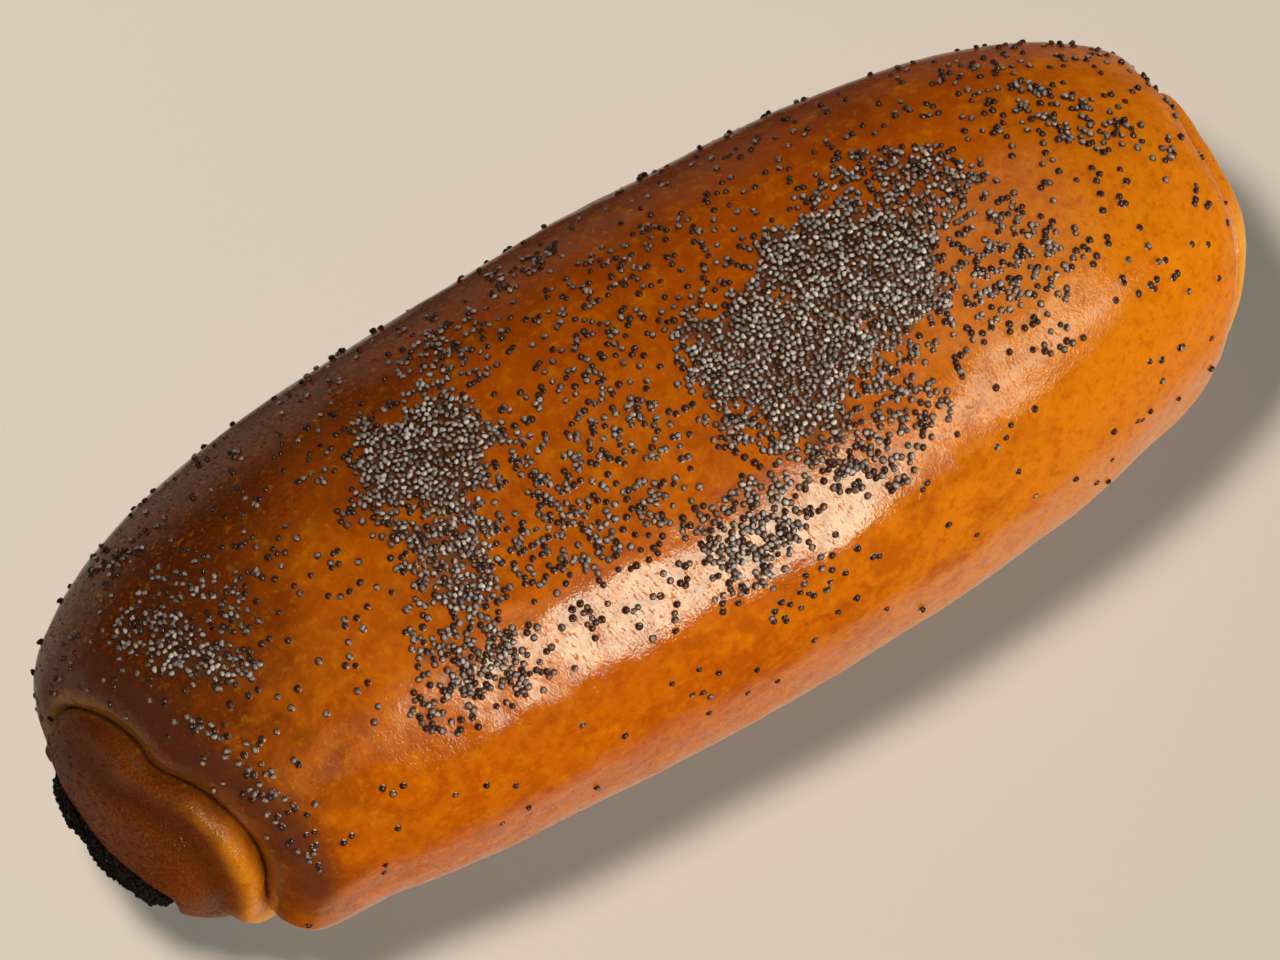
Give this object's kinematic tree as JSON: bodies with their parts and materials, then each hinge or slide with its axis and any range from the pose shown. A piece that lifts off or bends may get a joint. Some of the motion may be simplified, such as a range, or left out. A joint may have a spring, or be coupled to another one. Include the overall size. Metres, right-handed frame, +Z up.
{
  "type": "poppy seed roll",
  "caption": "Long oval glazed loaf of rolled sweet dough with a dark poppy seed filling showing at the ends and seeds scattered over its crust; rests on a flat base.",
  "frame": {"origin": "middle of the flat base the loaf rests on, half way along the loaf", "axes": "+X along the loaf, away from the end that shows the spiral and filling in the picture; +Z up; +Y towards the loaf's darker far side"},
  "size_m": [0.2333, 0.0906, 0.0689],
  "materials": {
    "baked_crust": "egg-washed baked crust, glossy orange-brown, darker on top and paler low on the sides; matte_plastic stands in for bread",
    "poppy_paste": "near-black baked poppy seed paste, grainy and slightly moist; matte_plastic stands in for it",
    "poppy_seed": "whole poppy seeds, dark slate brown with a pale glint; matte_plastic stands in for them"
  },
  "bodies": {
    "root": {"dough": "baked_crust", "poppy_filling": "poppy_paste"}
  },
  "joints": []
}
